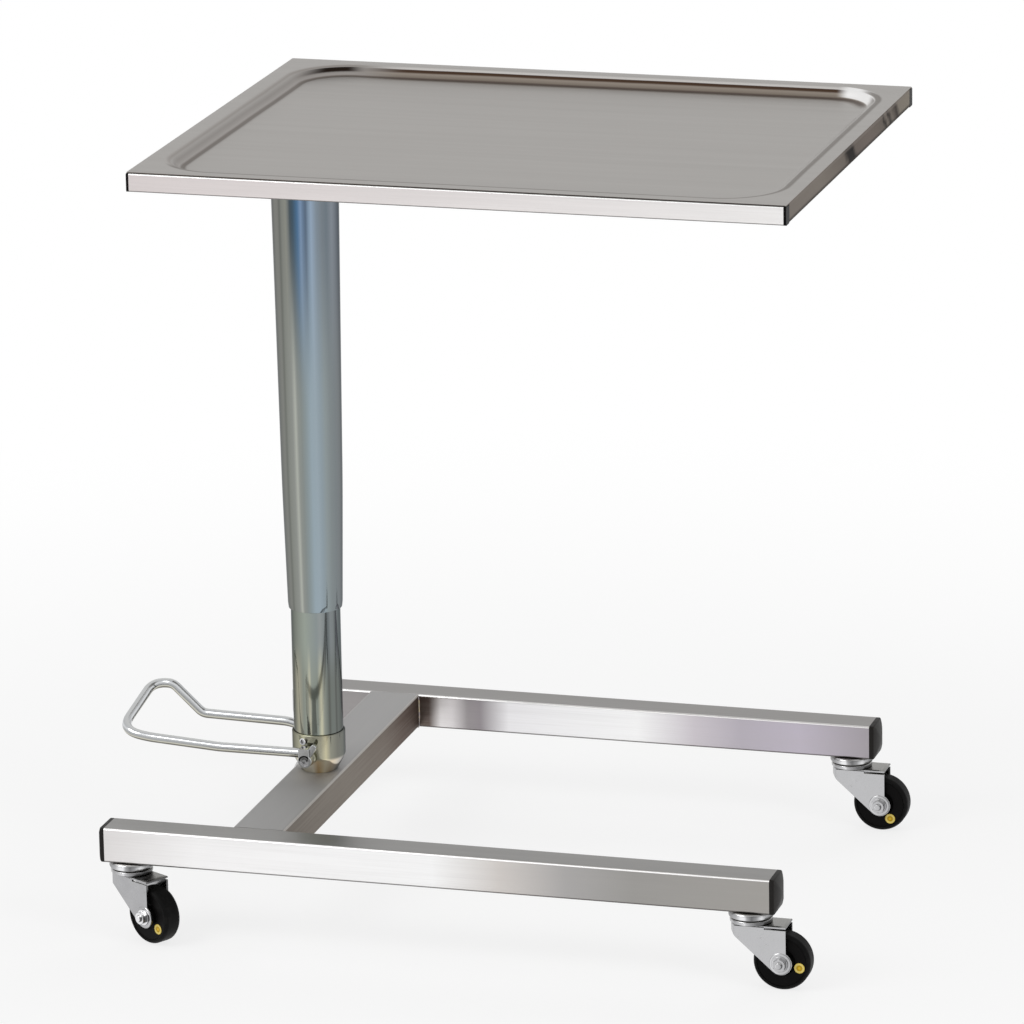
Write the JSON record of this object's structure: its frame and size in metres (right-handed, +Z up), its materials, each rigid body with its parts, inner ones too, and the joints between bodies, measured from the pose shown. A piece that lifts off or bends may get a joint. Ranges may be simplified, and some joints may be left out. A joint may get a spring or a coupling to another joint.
{
  "type": "mayo table",
  "caption": "Height-adjustable mayo table: recessed steel tray on an off-centre foot-pumped telescopic column, standing on a two-beam base with swivel castors.",
  "frame": {"origin": "on the floor, at the middle of the outline of the whole table at rest", "axes": "+X along the beams towards their free ends, +Y from the front beam to the rear beam, +Z up"},
  "size_m": [0.8604, 0.6174, 0.882],
  "materials": {
    "stainless": "brushed stainless steel",
    "chromed": "bright chromed steel tube",
    "zinc": "bright zinc-plated steel",
    "ground_steel": "ground and polished steel",
    "bearing_bronze": "satin bronze",
    "black_plastic": "moulded plastic, satin",
    "black_rubber": "smooth rubber",
    "yellow_plastic": "moulded plastic, glossy"
  },
  "bodies": {
    "base": {"front_beam": "stainless", "rear_beam": "stainless", "cross_beam": "stainless", "beam_end_caps": "black_plastic", "castor_heads": "zinc", "castor_stems": "zinc", "pump_housing": "chromed", "foot_bolt": "zinc", "valve_screw": "zinc", "lower_tube": "chromed", "cylinder": "ground_steel", "gland": "bearing_bronze"},
    "ram": {"ram": "ground_steel", "thrust_washer": "bearing_bronze"},
    "head": {"cover_tube": "chromed", "guide_bush": "black_plastic", "head_socket": "stainless", "head_plate": "stainless", "head_bolts": "zinc", "cross_bars": "stainless", "front_rail": "stainless", "rear_rail": "stainless", "rail_end_caps": "black_plastic"},
    "tray": {"tray": "stainless"},
    "pedal": {"pedal_shaft": "zinc", "pedal_levers": "chromed", "pedal_loop": "chromed"},
    "castor_fl": {"fork_fl": "zinc", "axle_fl": "zinc"},
    "wheel_fl": {"hub_fl": "black_plastic", "tyre_fl": "black_rubber", "marker_fl": "yellow_plastic"},
    "castor_fr": {"fork_fr": "zinc", "axle_fr": "zinc"},
    "wheel_fr": {"hub_fr": "black_plastic", "tyre_fr": "black_rubber", "marker_fr": "yellow_plastic"},
    "castor_rl": {"fork_rl": "zinc", "axle_rl": "zinc"},
    "wheel_rl": {"hub_rl": "black_plastic", "tyre_rl": "black_rubber", "marker_rl": "yellow_plastic"},
    "castor_rr": {"fork_rr": "zinc", "axle_rr": "zinc"},
    "wheel_rr": {"hub_rr": "black_plastic", "tyre_rr": "black_rubber", "marker_rr": "yellow_plastic"}
  },
  "joints": [
    {"name": "lift", "type": "slide", "parent": "base", "child": "ram", "axis": [0, 0, 1], "range_m": [0, 0.35]},
    {"name": "top_swivel", "type": "hinge", "parent": "ram", "child": "head", "pos_m": [-0.20481, -0.02429, 0.8262], "axis": [0, 0, 1], "continuous": true},
    {"name": "tray_lift_off", "type": "slide", "parent": "head", "child": "tray", "axis": [0, 0, 1], "range_m": [0, 0.06]},
    {"name": "pedal_press", "type": "hinge", "parent": "base", "child": "pedal", "pos_m": [-0.20681, -0.02429, 0.15], "axis": [0, -1, 0], "range_deg": [0, 22], "stiffness_Nm_per_rad": 2, "springref_deg": -28.65},
    {"name": "front_left_swivel", "type": "hinge", "parent": "base", "child": "castor_fl", "pos_m": [-0.34781, -0.26629, 0.08], "axis": [0, 0, 1], "continuous": true},
    {"name": "front_left_wheel_spin", "type": "hinge", "parent": "castor_fl", "child": "wheel_fl", "pos_m": [-0.31663, -0.28429, 0.032], "axis": [0.5, 0.866, 0], "continuous": true},
    {"name": "front_right_swivel", "type": "hinge", "parent": "base", "child": "castor_fr", "pos_m": [0.36219, -0.26629, 0.08], "axis": [0, 0, 1], "continuous": true},
    {"name": "front_right_wheel_spin", "type": "hinge", "parent": "castor_fr", "child": "wheel_fr", "pos_m": [0.39819, -0.26629, 0.032], "axis": [0, 1, 0], "continuous": true},
    {"name": "rear_left_swivel", "type": "hinge", "parent": "base", "child": "castor_rl", "pos_m": [-0.29981, 0.28371, 0.08], "axis": [0, 0, 1], "continuous": true},
    {"name": "rear_left_wheel_spin", "type": "hinge", "parent": "castor_rl", "child": "wheel_rl", "pos_m": [-0.29981, 0.24771, 0.032], "axis": [1, 0, 0], "continuous": true},
    {"name": "rear_right_swivel", "type": "hinge", "parent": "base", "child": "castor_rr", "pos_m": [0.34219, 0.28371, 0.08], "axis": [0, 0, 1], "continuous": true},
    {"name": "rear_right_wheel_spin", "type": "hinge", "parent": "castor_rr", "child": "wheel_rr", "pos_m": [0.37819, 0.28371, 0.032], "axis": [0, 1, 0], "continuous": true}
  ]
}
